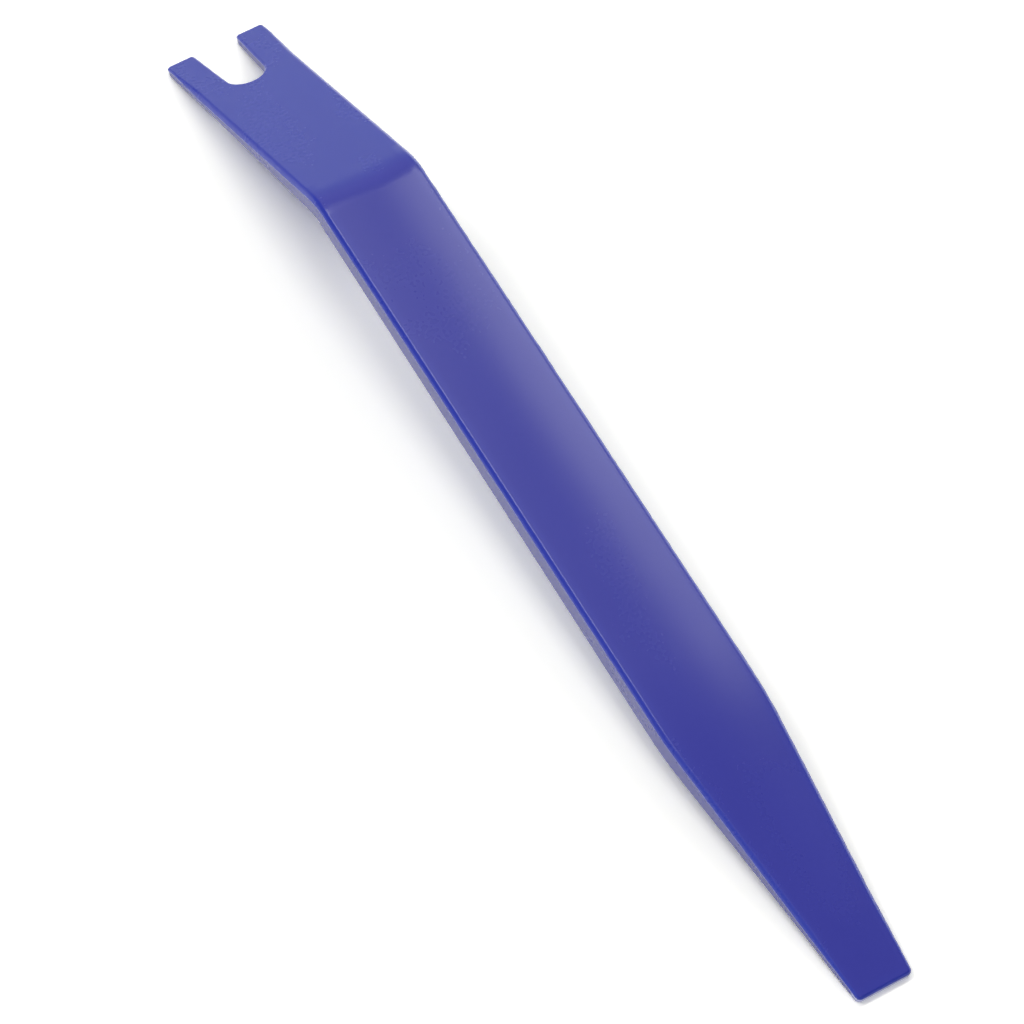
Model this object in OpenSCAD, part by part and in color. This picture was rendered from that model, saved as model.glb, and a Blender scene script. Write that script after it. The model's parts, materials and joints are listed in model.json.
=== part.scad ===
// Trim removal tool, moulded in one piece: a crowned handle, a notched fork that is bent down from it,
// and a chisel blade at the other end. It lies as an arch, on its prong tips and on the blade's edge.

/* [Handle] */
// Width of the handle
handle_w = 18; // [12:0.5:30]
// Length of the handle, from the bend to the shoulder
handle_l = 105.7; // [60:0.1:160]
// Thickness of the handle's edges at the bend
handle_bend_t = 4.9; // [4:0.1:8]
// Thickness of the handle's edges at the shoulder
shoulder_t = 6; // [4:0.1:8]
// Height of the crown in the middle of the top face
crown_h = 0.45; // [0:0.05:1]

/* [Fork] */
// Length of the fork, from the bend to the prong tips
fork_l = 55.2; // [40:0.1:80]
// Width across the prong tips
fork_tip_w = 17.8; // [15:0.1:28]
// Thickness of the fork at the bend
fork_bend_t = 4.2; // [3:0.1:7]
// Thickness of the prongs at their tips
fork_tip_t = 1.5; // [1.2:0.1:3]
// Angle by which the fork is bent down from the handle
bend_angle = 31.5; // [10:0.5:45]
// Radius of the bend along the top face
bend_r = 9; // [8:0.5:20]

/* [Notch] */
// Depth of the notch, from the prong tips
notch_depth = 14.8; // [8:0.1:30]
// Radius of the notch's round bottom
notch_r = 3.4; // [2:0.05:5]
// Angle by which each side of the notch opens towards the tips
notch_flare = 3; // [0:0.5:5]

/* [Blade] */
// Length of the blade, from the shoulder to its edge
blade_l = 48.3; // [30:0.1:80]
// Width of the blade at its edge
blade_tip_w = 9.5; // [6:0.1:12]
// Thickness of the blade at its edge
blade_tip_t = 1.6; // [0.8:0.1:2]
// Angle by which the blade's top falls away from the handle's
blade_fall = 3.2; // [0:0.1:6]
// Length over which the top turns down at the shoulder
fall_run = 24; // [4:1:50]
// Length over which the sides turn in at the shoulder
turn_run = 6; // [2:1:30]

/* [Edges] */
// Radius from the top face down to the parting line
edge_r = 0.9; // [0.3:0.05:1.5]
// Radius between the side walls and the underside
foot_r = 0.4; // [0.1:0.05:1]
// Draft of the side walls below the parting line
side_draft = 1; // [0:0.5:5]
// Radius of the prongs' outer corners, seen from above
prong_corner_r = 0.3; // [0.1:0.1:2]
// Radius of the blade's corners, seen from above
blade_corner_r = 0.6; // [0.3:0.1:2]
// Depth to which the top face rounds over at both tips
tip_drop = 0.4; // [0.1:0.05:0.6]

/* [Hidden] */

// The tool is laid out with the top edges of its handle along X: the bend is at the origin, the fork
// runs towards -X and the shoulder is at x = handle_l. Heights are counted from the top edges.
fork_tip = [-fork_l * cos(bend_angle), -fork_l * sin(bend_angle)];
bend_run = bend_r * tan(bend_angle / 2);

// Steps in the section's curves and in the curves along the tool
crown_steps = 10;
edge_steps = 5;
foot_steps = 2;
bend_steps = 8;
shoulder_steps = 12;
tip_steps = 5;
notch_steps = 24;

// The largest shares of a thin wall that its radii may take
edge_share = 0.55;
foot_share = 0.3;

// How far a cut reaches past the faces that it opens
cut_over = 1;

// Value at a share of the way from one to another
function mix(from, to, share) = from + (to - from) * share;

// Run past a corner at v = 0 that is eased over a length, half on each side of the corner
function eased(v, length) =
    v <= -length / 2 ? 0 :
    v >= length / 2 ? v :
    pow(v + length / 2, 2) / (2 * length);

// Share of the full slope that the eased run has reached
function eased_slope(v, length) = min(max(v / length + 0.5, 0), 1);

// Points on an arc, in steps from one angle to another
function arc(centre, radius, from, to, steps) = [
    for (i = [0 : steps])
        let (a = mix(from, to, i / steps))
        centre + radius * [cos(a), sin(a)]
];

// Cross-section as [y, height]: drafted walls, rounded feet and top edges, and a crowned top face
function section(half_w, thick, crown) =
    let (
        r = min(edge_r, edge_share * thick),
        f = min(foot_r, foot_share * thick),
        edge = [half_w - r, -r],
        foot = [half_w - f - (thick - r) * tan(side_draft), f - thick],
        right = concat(
            arc(foot, f, -90, 0, foot_steps),
            arc(edge, r, 0, 90, edge_steps)
        ),
        top = [
            for (i = [1 : crown_steps - 1])
                let (share = 1 - 2 * i / crown_steps)
                [share * edge[0], crown * (1 - share * share)]
        ],
        left = [for (i = [len(right) - 1 : -1 : 0]) [-right[i][0], right[i][1]]]
    )
    concat(right, top, left);

// Point [x, z] at a height over a place on the run, where the run climbs at an angle
function raised(place, climb, height) = place + height * [-sin(climb), cos(climb)];

// Section stood square to the run. Its top face is lowered by drop, and its underside isn't.
function ring(place, climb, half_w, thick, crown, drop) = [
    for (p = section(half_w, thick - drop, crown))
        let (q = raised(place, climb, p[1] - drop))
        [q[0], p[0], q[1]]
];

// Ring of the fork at a distance from the prong tips
function fork_ring(u, narrowed = 0, drop = 0) =
    let (share = u / fork_l)
    ring(
        mix(fork_tip, [0, 0], share),
        bend_angle,
        mix(fork_tip_w, handle_w, share) / 2 - narrowed,
        mix(fork_tip_t, fork_bend_t, share),
        0,
        drop
    );

// Ring on the bend, where the crown rises out of the fork's flat face
function bend_ring(climb) =
    let (share = 1 - climb / bend_angle)
    ring(
        raised([bend_run, -bend_r], climb, bend_r),
        climb,
        handle_w / 2,
        mix(fork_bend_t, handle_bend_t, share),
        crown_h * share,
        0
    );

// Place on the run at a distance past the shoulder, and the angle at which it climbs there
function blade_place(v) = [handle_l + v, -tan(blade_fall) * eased(v, fall_run)];
function blade_climb(v) = -blade_fall * eased_slope(v, fall_run);

// Thickness at a distance past the shoulder: it grows along the handle and thins out along the blade
function blade_thick(v) =
    let (past = eased(v, fall_run))
    shoulder_t
        + (shoulder_t - handle_bend_t) * (v - past) / handle_l
        - (shoulder_t - blade_tip_t) * past / blade_l;

// Ring at a distance past the shoulder, which is negative on the handle
function blade_ring(v, narrowed = 0, drop = 0) =
    let (half_w = mix(handle_w, blade_tip_w, eased(v, turn_run) / blade_l) / 2)
    ring(
        blade_place(v),
        blade_climb(v),
        half_w - narrowed,
        blade_thick(v),
        crown_h * pow(2 * half_w / handle_w, 2),
        drop
    );

// Angles around a tip's rounded corners, from its end face to its straight sides
tip_angles = [for (i = [0 : tip_steps]) mix(90, 0, i / tip_steps)];

fork_rings = [
    for (a = tip_angles)
        fork_ring(prong_corner_r * (1 - sin(a)), prong_corner_r * (1 - cos(a)), tip_drop * (1 - cos(a)))
];

bend_rings = [for (i = [0 : bend_steps]) bend_ring(mix(bend_angle, 0, i / bend_steps))];

shoulder_half = max(fall_run, turn_run) / 2;
shoulder_rings = [
    for (i = [0 : shoulder_steps])
        blade_ring(mix(-shoulder_half, shoulder_half, i / shoulder_steps))
];

blade_rings = [
    for (i = [tip_steps : -1 : 0])
        let (a = tip_angles[i], inwards = blade_corner_r * (1 - sin(a)))
        blade_ring(blade_l - inwards, blade_corner_r * (1 - cos(a)), tip_drop * (1 - cos(a)))
];

// Outline of the notch grown by a margin, with x counted from the prong tips: a round bottom between
// sides that flare out past the mouth
function notch_outline(margin) =
    let (
        bottom = [notch_depth - notch_r, 0],
        curve = arc(bottom, notch_r + margin, notch_flare - 90, 90 - notch_flare, notch_steps),
        side_end = curve[notch_steps],
        mouth_y = side_end[1] + (side_end[0] + cut_over) * tan(notch_flare)
    )
    concat(curve, [[-cut_over, mouth_y], [-cut_over, -mouth_y]]);

// Ring of the notch's cut at a height over the fork's top face
function notch_ring(margin, height) = [
    for (p = notch_outline(margin))
        let (q = raised(mix(fork_tip, [0, 0], p[0] / fork_l), bend_angle, height))
        [q[0], p[1], q[1]]
];

// The cut runs through the fork, and its rim rounds out to the top face as the outer edges do
rim_r = min(edge_r, edge_share * fork_tip_t);
notch_rings = concat(
    [notch_ring(0, -fork_bend_t - cut_over)],
    [
        for (i = [0 : edge_steps])
            let (a = 90 * i / edge_steps)
            notch_ring(rim_r * (1 - cos(a)), rim_r * (sin(a) - 1))
    ],
    [notch_ring(rim_r, cut_over)]
);

// At rest the undersides of both tips touch the floor
prong_foot = raised(fork_tip, bend_angle, -fork_tip_t);
blade_foot = raised(blade_place(blade_l), -blade_fall, -blade_tip_t);
prong_end = raised(fork_tip, bend_angle, -tip_drop);
blade_end = raised(blade_place(blade_l), -blade_fall, -tip_drop);
rest_angle = atan2(blade_foot[1] - prong_foot[1], blade_foot[0] - prong_foot[0]);

// A point [x, z] once the tool is turned to rest
function turned(p) = [
    p[0] * cos(rest_angle) + p[1] * sin(rest_angle),
    p[1] * cos(rest_angle) - p[0] * sin(rest_angle)
];

// Skin over rings that have equal numbers of points
module loft(rings) {
    n = len(rings[0]);
    last = len(rings) - 1;
    first_end = [for (j = [0 : n - 1]) j];
    last_end = [for (j = [n - 1 : -1 : 0]) last * n + j];
    sides = [
        for (i = [0 : last - 1], j = [0 : n - 1])
            let (k = (j + 1) % n)
            [i * n + j, (i + 1) * n + j, (i + 1) * n + k, i * n + k]
    ];
    polyhedron([for (r = rings) each r], concat([first_end], sides, [last_end]));
}

module trim_tool() {
    color([0.23, 0.23, 0.62])
    translate([-(turned(prong_end)[0] + turned(blade_end)[0]) / 2, 0, -turned(prong_foot)[1]])
    rotate([0, rest_angle, 0])
    difference() {
        loft(concat(fork_rings, bend_rings, shoulder_rings, blade_rings));
        loft(notch_rings);
    }
}

trim_tool();
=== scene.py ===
import json
import math

import bmesh
import bpy
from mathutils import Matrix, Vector

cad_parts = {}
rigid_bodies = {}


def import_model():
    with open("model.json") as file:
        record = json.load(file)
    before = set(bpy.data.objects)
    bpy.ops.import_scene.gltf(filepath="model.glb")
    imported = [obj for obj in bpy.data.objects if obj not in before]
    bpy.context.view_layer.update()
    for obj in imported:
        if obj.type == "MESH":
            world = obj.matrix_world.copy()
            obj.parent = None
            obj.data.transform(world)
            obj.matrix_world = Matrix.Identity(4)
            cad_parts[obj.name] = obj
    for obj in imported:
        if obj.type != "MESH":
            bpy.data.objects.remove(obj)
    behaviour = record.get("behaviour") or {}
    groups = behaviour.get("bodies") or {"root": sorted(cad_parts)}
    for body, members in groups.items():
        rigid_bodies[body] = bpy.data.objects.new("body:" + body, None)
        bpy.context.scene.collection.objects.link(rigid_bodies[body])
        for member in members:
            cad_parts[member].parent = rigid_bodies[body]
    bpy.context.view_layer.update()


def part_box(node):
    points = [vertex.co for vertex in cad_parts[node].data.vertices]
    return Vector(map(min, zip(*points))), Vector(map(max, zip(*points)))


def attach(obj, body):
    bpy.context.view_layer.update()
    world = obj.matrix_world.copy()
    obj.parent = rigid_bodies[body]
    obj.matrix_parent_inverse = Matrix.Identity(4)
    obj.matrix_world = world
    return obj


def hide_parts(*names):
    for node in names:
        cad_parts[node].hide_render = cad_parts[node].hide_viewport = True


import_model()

# The moulding: one piece of tough blue plastic, with a notched fork bent down from a crowned handle and
# a chisel blade at the other end. It comes out of a two-part mould, so its walls stand square below a
# parting line and every edge above that line is rounded. Sizes are in metres.
handle_w = 0.018
handle_l = 0.1057
handle_bend_t = 0.0049
shoulder_t = 0.006
fork_l = 0.0552
fork_tip_w = 0.0178
fork_bend_t = 0.0042
fork_tip_t = 0.0015
bend_angle = math.radians(31.5)
bend_l = 0.008
bend_ease = 1.5
bend_steps = 30
blade_l = 0.0483
blade_tip_w = 0.0095
blade_tip_t = 0.0016
blade_fall = math.radians(3.2)

# The blade's fall is eased over fall_run, its sides turn in over turn_run, and its crown ends over flat_run.
fall_run = 0.024
turn_run = 0.006
flat_run = 0.012

# Places are told apart to within a hair.
hair = 1e-5


def mix(start, end, share):
    """Value at a share of the way from start to end."""
    return start + (end - start) * share


def bend_slope(share):
    """Climb of the top at a share of the bend. It eases from the fork's to the handle's, slowly at first."""
    turned = max(share, 0) ** bend_ease
    return bend_angle * (1 - turned * turned * (3 - 2 * turned))


# The bend's own rise and run give the places on the fork and on the handle where it starts and ends.
bend_slopes = [bend_slope((step + 0.5) / bend_steps) for step in range(bend_steps)]
fork_end = bend_l / bend_steps * sum(map(math.sin, bend_slopes)) / math.sin(bend_angle)
bend_start = -fork_end * math.cos(bend_angle)
bend_end = bend_start + bend_l / bend_steps * sum(map(math.cos, bend_slopes))


def eased(v, length):
    """Run past a corner at v = 0 that is eased over a length, half on each side of the corner."""
    if abs(v) >= length / 2:
        return max(v, 0)
    return (v + length / 2) ** 2 / (2 * length)


def along(place):
    """Climb, half width, thickness and share of the crown where a place lies along the tool."""
    on_fork = -(place.x * math.cos(bend_angle) + place.z * math.sin(bend_angle))
    if on_fork > fork_end - hair:
        share = 1 - on_fork / fork_l
        return bend_angle, mix(fork_tip_w, handle_w, share) / 2, mix(fork_tip_t, fork_bend_t, share), 0
    if place.x < bend_end:
        share = (place.x - bend_start) / (bend_end - bend_start)
        climb = bend_slope(share)
        fork_t = mix(fork_bend_t, fork_tip_t, fork_end / fork_l)
        handle_t = mix(handle_bend_t, shoulder_t, bend_end / handle_l)
        return climb, handle_w / 2, mix(fork_t, handle_t, share), 1 - climb / bend_angle
    v = place.x - handle_l
    past = eased(v, fall_run)
    climb = -blade_fall * min(max(v / fall_run + 0.5, 0), 1)
    half_w = mix(handle_w, blade_tip_w, eased(v, turn_run) / blade_l) / 2
    grown = (shoulder_t - handle_bend_t) * (v - past) / handle_l
    thick = shoulder_t + grown - (shoulder_t - blade_tip_t) * past / blade_l
    return climb, half_w, thick, (2 * half_w / handle_w) ** 2 * min((blade_l - v) / flat_run, 1)


# The fork's outline is drawn flat, from the round bottom of the notch out along the prongs, and filled.
# The notch slips under the head of a clip, so its flanks open a little and its mouth has rounded corners.
notch_depth = 0.0148
notch_r = 0.0034
notch_flare = math.radians(3)
notch_points = 120
mouth_corner_r = 0.0005
prong_corner_r = 0.0006
corner_cuts = 6
station = 0.001


def pick(kind, test):
    """Select the verts or the edges that pass a test, in edit mode."""
    bpy.ops.mesh.select_mode(type={"verts": "VERT", "edges": "EDGE"}[kind])
    bpy.ops.mesh.select_all(action="DESELECT")
    mesh = bmesh.from_edit_mesh(bpy.context.object.data)
    for part in getattr(mesh, kind):
        part.select_set(bool(test(part)))
    mesh.select_flush_mode()
    bmesh.update_edit_mesh(bpy.context.object.data)


def pull(x=0.0, y=0.0, z=0.0):
    """Extrude what is selected, and move it."""
    bpy.ops.mesh.extrude_region_move(TRANSFORM_OT_translate={"value": (x, y, z)})


def corner(radius, first, last, side, slope=0.0):
    """Draw the selected end of an outline round a corner, from one heading in plan to another."""
    for cut in range(corner_cuts):
        here, there = (mix(first, last, (cut + ahead) / corner_cuts) for ahead in (0, 1))
        run = radius * (math.sin(here) - math.sin(there))
        pull(run, side * radius * (math.cos(there) - math.cos(here)), slope * run)


notch_x = notch_depth - notch_r - fork_l
flank_x = notch_x + notch_r * math.sin(notch_flare)
flank_y = notch_r * math.cos(notch_flare)
flank_run = flank_x + fork_l - mouth_corner_r * (1 - math.sin(notch_flare))
flank_cuts = round(flank_run / station)
mouth_y = flank_y + flank_run * math.tan(notch_flare) + mouth_corner_r * math.cos(notch_flare)
side_run = fork_l - prong_corner_r - fork_end
side_cuts = round(side_run / station)
fork_end_w = mix(handle_w, fork_tip_w, fork_end / fork_l)
bpy.ops.object.select_all(action="DESELECT")
bpy.ops.mesh.primitive_circle_add(vertices=notch_points, radius=notch_r, location=(notch_x, 0, 0))
bpy.ops.object.transform_apply(location=True)
tool = bpy.context.object
tool.name = "trim_tool_moulding"
bpy.ops.object.mode_set(mode="EDIT")
pick("verts", lambda vert: vert.co.x < flank_x - hair)
bpy.ops.mesh.delete(type="VERT")
for side in (1, -1):
    pick("verts", lambda vert: vert.co.x < flank_x + hair and vert.co.y * side > 0)
    for cut in range(flank_cuts):
        pull(-flank_run / flank_cuts, side * flank_run * math.tan(notch_flare) / flank_cuts)
    corner(mouth_corner_r, math.pi - notch_flare, math.pi / 2, side)
    pull(0, side * (fork_tip_w / 2 - prong_corner_r - mouth_y))
    corner(prong_corner_r, math.pi / 2, 0, side)
    for cut in range(side_cuts):
        pull(side_run / side_cuts, side * (fork_end_w - fork_tip_w) / 2 / side_cuts)
pick("verts", lambda vert: vert.co.x > -fork_end - hair)
bpy.ops.mesh.edge_face_add()
bpy.ops.mesh.select_all(action="SELECT")
bpy.ops.mesh.edge_face_add()
bpy.ops.transform.rotate(value=bend_angle, orient_axis="Y", center_override=(0, 0, 0))

# The end of the fork is drawn out over the bend, along the handle and down the blade, which falls a little
# below the handle's line and narrows evenly from the shoulder to its end.
tip_run = 0.002
blade_slope = -math.tan(blade_fall)
blade_end = handle_l + blade_l
tip_start = blade_end - tip_run
run_steps = round((tip_start - bend_end) / station)
run_places = [mix(bend_end, tip_start, step / run_steps) for step in range(run_steps + 1)]
pick("verts", lambda vert: vert.co.x > bend_start - hair)
for slope in bend_slopes:
    pull(bend_l / bend_steps * math.cos(slope), 0, bend_l / bend_steps * math.sin(slope))
    bpy.ops.transform.resize(value=(1, (handle_w / fork_end_w) ** (1 / bend_steps), 1))
for here, there in zip(run_places, run_places[1:]):
    falls = [blade_slope * eased(x - handle_l, fall_run) for x in (here, there)]
    halves = [along(Vector((x + hair, 0, 0)))[1] for x in (here, there)]
    pull(there - here, 0, falls[1] - falls[0])
    bpy.ops.transform.resize(value=(1, halves[1] / halves[0], 1))

# The blade's end is drawn like the prongs, with its corners rounded, and filled. It is the thin edge that
# is pushed in behind a panel.
blade_corner_r = 0.0008
blade_taper = math.atan((handle_w - blade_tip_w) / 2 / blade_l)
tip_side = blade_end - tip_start - blade_corner_r * (1 - math.sin(blade_taper))
for side in (1, -1):
    pick("verts", lambda vert: vert.co.x > tip_start - hair and vert.co.y * side > 0)
    pull(tip_side, -side * tip_side * math.tan(blade_taper), blade_slope * tip_side)
    corner(blade_corner_r, -blade_taper, -math.pi / 2, side, blade_slope)
pick("verts", lambda vert: vert.co.x > blade_end - hair)
bpy.ops.mesh.edge_face_add()
pick("verts", lambda vert: vert.co.x > tip_start - hair)
bpy.ops.mesh.edge_face_add()
bpy.ops.mesh.select_all(action="SELECT")
bpy.ops.mesh.normals_make_consistent(inside=False)
bpy.ops.object.mode_set(mode="OBJECT")

# The sheet gets its thickness below it, most at the shoulder and least at both tips. The underside draws in
# a little, so that the tool leaves the mould.
side_draft = 0.992
top_count = len(tool.data.vertices)
thickness = tool.vertex_groups.new(name="thickness")
for vert in tool.data.vertices:
    thickness.add([vert.index], along(vert.co)[2] / shoulder_t, "REPLACE")
solidify = tool.modifiers.new("thickness", "SOLIDIFY")
solidify.thickness = shoulder_t
solidify.offset = -1
solidify.vertex_group = "thickness"
bpy.ops.object.modifier_apply(modifier="thickness")
bpy.ops.object.mode_set(mode="EDIT")
pick("verts", lambda vert: vert.index >= top_count)
bpy.ops.transform.resize(value=(1, side_draft, 1), center_override=(0, 0, 0))

# The handle and the blade are crowned: their top is cut lengthwise and raised in the middle, inside the
# rounded edges. The crown fades out over the bend and towards the blade's end, and the fork is flat.
crown_h = 0.00045
crown_cuts = 7
edge_r = 0.0009


def upright(place):
    """Direction square to the top face where a place lies along the tool."""
    climb = along(place)[0]
    return Vector((-math.sin(climb), 0, math.cos(climb)))


pick("edges", lambda edge: all(v.index < top_count for v in edge.verts)
     and abs(edge.verts[0].co.y - edge.verts[1].co.y) > blade_tip_w - hair)
bpy.ops.mesh.subdivide(number_cuts=crown_cuts)
mesh = bmesh.from_edit_mesh(tool.data)
for vert in mesh.verts:
    if vert.select:
        _, half_w, _, crown = along(vert.co)
        vert.co += upright(vert.co) * crown_h * crown * (1 - (vert.co.y / (half_w - edge_r)) ** 2)
bmesh.update_edit_mesh(tool.data)
bpy.ops.object.mode_set(mode="OBJECT")

# Every edge is rounded: widely above the parting line, less at the foot of the walls and at the tips.
# A rounding keeps one width round the corners of a tip, and grows along the sides from there.
rim_r = 0.00035
blade_tip_r = 0.0005
sharp_r = 0.0001
foot_r = 0.0004
edge_share = 0.55
foot_share = 0.3
even_run = 0.003
narrow_run = 0.008
flat_lean = 0.7
edge_cuts = 6
edge_profile = 0.37


def from_prongs(place):
    """Distance of a place from the prong tips, along the fork."""
    return fork_l + place.x * math.cos(bend_angle) + place.z * math.sin(bend_angle)


def in_notch(place):
    """Whether a place lies on the edge of the notch."""
    return from_prongs(place) < notch_depth + hair and abs(place.y) < mouth_y + hair


def rounding(edge):
    """Radius to which an edge of the block is rounded."""
    place = (edge.verts[0].co + edge.verts[1].co) / 2
    _, half_w, thick, crown = along(place)
    leans = sorted(face.normal.dot(upright(place)) for face in edge.link_faces)
    tip_r = rim_r if place.x < 0 else blade_tip_r
    off_tip = min(from_prongs(place) - prong_corner_r, tip_start - place.x)
    off_tip = min(max((off_tip - even_run) / narrow_run, 0), 1)
    if leans[1] > flat_lean > leans[0]:
        sunk = crown_h * crown * ((half_w / (half_w - edge_r)) ** 2 - 1)
        return rim_r if in_notch(place) else mix(tip_r, min(edge_r, edge_share * thick) - sunk, off_tip)
    if leans[0] < -flat_lean < leans[1]:
        return sharp_r if in_notch(place) else mix(sharp_r, min(foot_r, foot_share * thick), off_tip)
    return 0


bpy.ops.object.mode_set(mode="EDIT")
mesh = bmesh.from_edit_mesh(tool.data)
mesh.normal_update()
weight = mesh.edges.layers.float.new("bevel_weight_edge")
for edge in mesh.edges:
    edge[weight] = rounding(edge) / edge_r
bmesh.update_edit_mesh(tool.data)
bpy.ops.object.mode_set(mode="OBJECT")
rounded = tool.modifiers.new("rounded", "BEVEL")
rounded.limit_method = "WEIGHT"
rounded.width = edge_r
rounded.segments = edge_cuts
rounded.profile = edge_profile
rounded.use_clamp_overlap = False
rounded.loop_slide = False
bpy.ops.object.modifier_apply(modifier="rounded")

# The mould's two halves leave a hair of flash where they meet: a fine, uneven ridge along the parting line,
# between the walls and the rounded edge above them. The mesh keeps where a pale colour is painted: on the
# flash, partly torn flash and partly a painted glint along the parting line, and on the wall of the blade's
# end, a painted highlight. It also keeps where a lighter blue is painted on the rounded edges as painted
# light.
flash_h = 0.00007
flash_rough = 0.00003
flash_seed = 4
wall_lean = 0.05
edge_lean = 0.6
# Level of the pale colour painted as a highlight on the blade's end wall.
end_highlight_level = 2.0


def parting(edge):
    """Whether an edge lies between a wall and the rounding above it."""
    if len(edge.link_faces) != 2:
        return False
    high = upright((edge.verts[0].co + edge.verts[1].co) / 2)
    low_lean, top_lean = sorted(face.normal.dot(high) for face in edge.link_faces)
    return abs(low_lean) < wall_lean < top_lean < edge_lean


bpy.ops.object.mode_set(mode="EDIT")
pick("edges", parting)
bpy.ops.mesh.bevel(offset=flash_h, segments=2, affect="EDGES")
bpy.ops.mesh.select_mode(type="VERT")
bpy.ops.mesh.select_less()
bpy.ops.transform.shrink_fatten(value=flash_h)
bpy.ops.transform.vertex_random(offset=flash_rough, normal=1, seed=flash_seed)
mesh = bmesh.from_edit_mesh(tool.data)
mesh.normal_update()
pale = mesh.verts.layers.float.new("pale")
thin = mesh.verts.layers.float.new("thin")
for vert in mesh.verts:
    sunk = blade_slope * (vert.co.x - handle_l) - vert.co.z
    # The blade's end wall, below its rounding, gets a painted highlight in the pale colour.
    painted_end_highlight = vert.co.x > blade_end - blade_corner_r and blade_tip_r < sunk < blade_tip_t - sharp_r / 2
    lean = max(vert.normal.dot(upright(vert.co)), 0)
    vert[pale] = end_highlight_level if painted_end_highlight else float(vert.select)
    # The rounded edges get painted light, most where they lean halfway between wall and top.
    vert[thin] = 4 * lean * (1 - lean)
bmesh.update_edit_mesh(tool.data)
bpy.ops.mesh.select_more()
bpy.ops.mesh.region_to_loop()
bpy.ops.mesh.mark_sharp()
bpy.ops.object.mode_set(mode="OBJECT")

# The tool is laid to rest on its prong tips and on the blade's edge, where the solid lies. It is shaded
# smooth all over, apart from the borders of the flash.
prong_foot = Vector((-fork_l * math.cos(bend_angle), 0, -fork_l * math.sin(bend_angle)))
prong_foot -= fork_tip_t * upright(prong_foot)
blade_foot = Vector((blade_end, 0, blade_slope * blade_l))
blade_foot -= blade_tip_t * upright(blade_foot)
span = blade_foot - prong_foot
bpy.ops.object.mode_set(mode="EDIT")
bpy.ops.mesh.select_all(action="SELECT")
bpy.ops.transform.rotate(value=-math.atan2(span.z, span.x), orient_axis="Y", center_override=(0, 0, 0))
bpy.ops.object.mode_set(mode="OBJECT")
low_x, low_z = (min(vert.co[axis] for vert in tool.data.vertices) for axis in (0, 2))
solid_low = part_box("trim_tool")[0]
bpy.ops.object.mode_set(mode="EDIT")
bpy.ops.transform.translate(value=(solid_low.x - low_x, 0, solid_low.z - low_z))
bpy.ops.object.mode_set(mode="OBJECT")
bpy.ops.object.shade_smooth()
even = tool.modifiers.new("even", "WEIGHTED_NORMAL")
even.keep_sharp = True
bpy.ops.object.modifier_apply(modifier="even")

# The plastic is a deep blue, coloured right through, with a satin face from the fine spark grain of the
# mould. It is a little darker and glossier in streaks along the flow. A lighter, purer blue is painted on
# the rounded edges as painted light. A pale colour is painted on the flash, partly torn flash and partly a
# painted glint, and on the blade's end wall as a painted highlight.
streak_colours = (0.026, 0.0292, 0.318, 1), (0.0304, 0.0342, 0.354, 1)
streak_size = 0.012
streak_stretch = (0.3, 1, 1)
streak_share = 0.75
grain_size = 0.0007
grain_depth = 0.00002
grain_strength = 0.06
# A lighter blue painted on the rounded edges as painted light, and a pale colour painted on the flash,
# partly as a glint, and on the blade's end wall as a highlight.
painted_edge_light_colour = (0.03, 0.05, 0.46, 1)
flash_and_highlight_colour = (0.58, 0.6, 0.95, 1)
tear_size = 0.0016
tear_range = 0.5, 0.62
least_torn = 0.75
satin_rough = 0.24
streak_rough = 0.05
grain_rough = 0.01


class Socket:
    """An output of a shader node. Sums on it add Math nodes, and add brings in any other node."""

    def __init__(self, tree, output=None):
        self.tree = tree
        self.output = output

    def add(self, kind, settings=None, sockets=None, output=0):
        """Any node, by its type, its settings, and the values or links of its sockets."""
        node = self.tree.nodes.new(kind)
        for name, value in (settings or {}).items():
            if name == "stops":
                steps = node.color_ramp.elements
                while len(steps) < len(value):
                    steps.new(1)
                for step, (place, level) in zip(steps, value):
                    step.position = place
                    step.color = (level, level, level, 1)
            else:
                setattr(node, name, value)
        for name, value in (sockets or {}).items():
            if isinstance(value, Socket):
                self.tree.links.new(value.output, node.inputs[name])
            else:
                node.inputs[name].default_value = value
        return Socket(self.tree, node.outputs[output]) if node.outputs else None

    def math(self, operation, first, second):
        """A Math node on two numbers."""
        return self.add("ShaderNodeMath", {"operation": operation}, {0: first, 1: second})

    def blend(self, share, first, second):
        """A Mix node on two colours."""
        sockets = {0: share, 6: first, 7: second}
        return self.add("ShaderNodeMix", {"data_type": "RGBA"}, sockets, output=2)

    def __add__(self, other):
        return self.math("ADD", self, other)

    def __rsub__(self, other):
        return self.math("SUBTRACT", other, self)

    def __mul__(self, other):
        return self.math("MULTIPLY", self, other)

    __radd__ = __add__
    __rmul__ = __mul__


def cleared(block):
    """The emptied node tree of a material or a world, to add nodes to."""
    block.use_nodes = True
    block.node_tree.nodes.clear()
    return Socket(block.node_tree)


plastic = bpy.data.materials.new("blue_plastic")
finish = cleared(plastic)
spot = finish.add("ShaderNodeTexCoord", output="Object")
lengthwise = finish.add("ShaderNodeMapping", sockets={"Vector": spot, "Scale": streak_stretch})
streak = finish.add("ShaderNodeTexNoise", sockets={"Vector": lengthwise, "Scale": 1 / streak_size})
grain = finish.add("ShaderNodeTexNoise", sockets={"Vector": spot, "Scale": 1 / grain_size, "Detail": 0})
tears = finish.add("ShaderNodeTexNoise", sockets={"Vector": spot, "Scale": 1 / tear_size})
flash_and_highlight_share = finish.add("ShaderNodeMapRange", {"interpolation_type": "SMOOTHSTEP"}, {
    "Value": tears, "From Min": tear_range[0], "From Max": tear_range[1], "To Min": least_torn, "To Max": 1})
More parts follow.
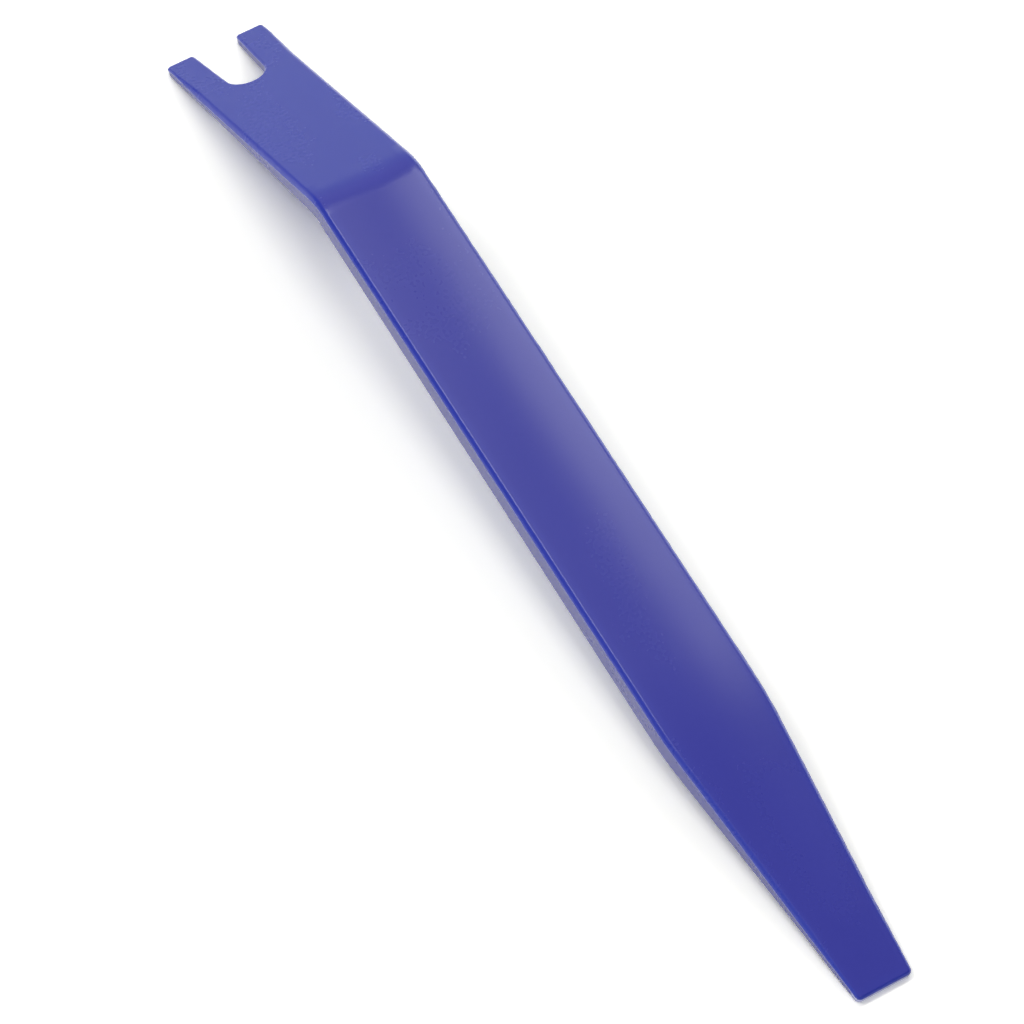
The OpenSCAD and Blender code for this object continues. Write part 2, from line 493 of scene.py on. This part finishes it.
# The pale colour is painted on the flash, partly torn flash and partly a painted glint, and as a painted
# highlight on the blade's end wall.
flash_and_highlight_share = flash_and_highlight_share * finish.add("ShaderNodeAttribute", {"attribute_name": "pale"}, output="Fac")
lit = finish.add("ShaderNodeAttribute", {"attribute_name": "thin"}, output="Fac")
blue = finish.blend(streak_share * streak + (1 - streak_share) * grain, *streak_colours)
# The rounded edges get a lighter blue here as painted light.
blue = finish.blend(lit, blue, painted_edge_light_colour)
blue = finish.blend(flash_and_highlight_share, blue, flash_and_highlight_colour)
fine = finish.add("ShaderNodeBump", sockets={
    "Height": grain, "Strength": grain_strength, "Distance": grain_depth})
rough = satin_rough + streak_rough * streak + grain_rough * grain
satin = finish.add("ShaderNodeBsdfPrincipled", sockets={
    "Base Color": blue, "Roughness": rough, "Normal": fine})
finish.add("ShaderNodeOutputMaterial", sockets={"Surface": satin})
tool.data.materials.append(plastic)
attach(tool, "root")
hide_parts("trim_tool")

# The camera looks along the tool from its blade end, high on its left, through a long lens that fills the
# frame with the tool from corner to corner.
view_azimuth = math.radians(-59.193)
view_elevation = math.radians(57.125)
view_distance = 0.9304
view_target = Vector((0.000787, -0.004234, 0))
lens_mm = 210.6
sensor_mm = 36


def heading(azimuth, elevation):
    """Direction to a place in the studio."""
    return Vector((math.sin(azimuth) * math.cos(elevation), math.cos(azimuth) * math.cos(elevation),
                   math.sin(elevation)))


towards = heading(view_azimuth, -view_elevation)
bpy.ops.object.camera_add(location=view_target - view_distance * towards)
camera = bpy.context.object
camera.rotation_euler = towards.to_track_quat("-Z", "Y").to_euler()
camera.data.lens = lens_mm
camera.data.sensor_width = sensor_mm
scene = bpy.context.scene
scene.camera = camera
scene.view_settings.view_transform = "Standard"

# The floor is a wide sheet of white paper. Its colour for the camera and in mirrored views is above full
# white, as in a photograph of an object on white paper, so that only the shadow under the tool shows on it.
floor_size = 12
paper_colour = (0.8, 0.8, 0.8, 1)
shown_colour = (1.32, 1.31, 1.23, 1)
bpy.ops.mesh.primitive_plane_add(size=floor_size)
floor = bpy.context.object
floor.name = "floor"
white = bpy.data.materials.new("white_paper")
sheet = cleared(white)
shown = sheet.add("ShaderNodeLightPath", output="Is Camera Ray")
for ray in ("Is Glossy Ray", "Is Transmission Ray"):
    shown = sheet.math("MAXIMUM", shown, sheet.add("ShaderNodeLightPath", output=ray))
matt = sheet.add("ShaderNodeBsdfDiffuse", sockets={"Color": sheet.blend(shown, paper_colour, shown_colour)})
sheet.add("ShaderNodeOutputMaterial", sockets={"Surface": matt})
floor.data.materials.append(white)

# The studio is a pale room, brightest beyond the fork's end and a little cooler low down, with a dark flag
# low on the left that keeps the rounded edges deep blue. Turns are taken from the camera's heading.
room_levels = ((0.0, 2.0), (0.139, 0.55), (0.25, 0.62), (0.342, 0.68), (0.559, 0.86), (0.719, 0.87),
               (0.848, 0.72), (1.0, 0.68))
bright_turn = math.radians(-45)
side_level = 0.595
bright_gain = 0.774
least_level = 0.02
flag_turn = math.radians(-78)
flag_rise = math.radians(12)
flag_reach = math.radians(25)
flag_fade = math.radians(40)
flag_level = 0.1
low_colour = (0.87, 1.04, 1.15, 1)
high_colour = (1, 1, 1, 1)
low_height = 0.3
high_height = 0.5
world = bpy.data.worlds.new("studio")
room = cleared(world)
ray = room.add("ShaderNodeTexCoord", output="Generated")
height = room.add("ShaderNodeSeparateXYZ", sockets={0: ray}, output="Z")
level = room.add("ShaderNodeValToRGB", {"stops": room_levels}, {"Fac": height})
bright_end = heading(view_azimuth + bright_turn, 0)
end_share = room.add("ShaderNodeVectorMath", {"operation": "DOT_PRODUCT"}, {0: ray, 1: bright_end}, "Value")
flag_place = heading(view_azimuth + flag_turn, flag_rise)
flag_share = room.add("ShaderNodeVectorMath", {"operation": "DOT_PRODUCT"}, {0: ray, 1: flag_place}, "Value")
open_share = room.add("ShaderNodeMapRange", {"interpolation_type": "SMOOTHSTEP"}, {
    "Value": flag_share, "From Min": math.cos(flag_fade), "From Max": math.cos(flag_reach),
    "To Min": 1, "To Max": flag_level})
level = level * room.math("MAXIMUM", side_level + bright_gain * end_share, least_level) * open_share
seen = room.add("ShaderNodeLightPath", output="Is Camera Ray")
high = room.add("ShaderNodeMapRange", sockets={
    "Value": height, "From Min": low_height, "From Max": high_height})
tint = room.blend(room.math("MAXIMUM", high, seen), low_colour, high_colour)
glow = room.add("ShaderNodeBackground", sockets={"Color": tint, "Strength": level * (1 - seen) + seen})
room.add("ShaderNodeOutputWorld", sockets={"Surface": glow})
scene.world = world

# Four softboxes light the tool: far right, overhead, behind the camera and on the left. Each has its turn
# and its rise in degrees, its width and length in metres, and its radiance.
softbox_distance = 1.2
for name, turn, rise, width, length, radiance in (
    ("far_softbox", 28.5, 52.6, 0.26, 0.547, 4.5),
    ("top_softbox", -52.3, 70, 0.907, 0.373, 1.65),
    ("back_softbox", 149.8, 49.7, 0.298, 0.913, 3.9),
    ("left_softbox", -86, 60, 0.4, 0.36, 7),
):
    aim = heading(view_azimuth + math.radians(turn), math.radians(rise))
    bpy.ops.object.light_add(type="AREA", location=aim * softbox_distance)
    softbox = bpy.context.object
    softbox.name = name
    softbox.rotation_euler = (-aim).to_track_quat("-Z", "Y").to_euler()
    softbox.data.shape = "RECTANGLE"
    softbox.data.size = width
    softbox.data.size_y = length
    softbox.data.energy = radiance * math.pi * width * length
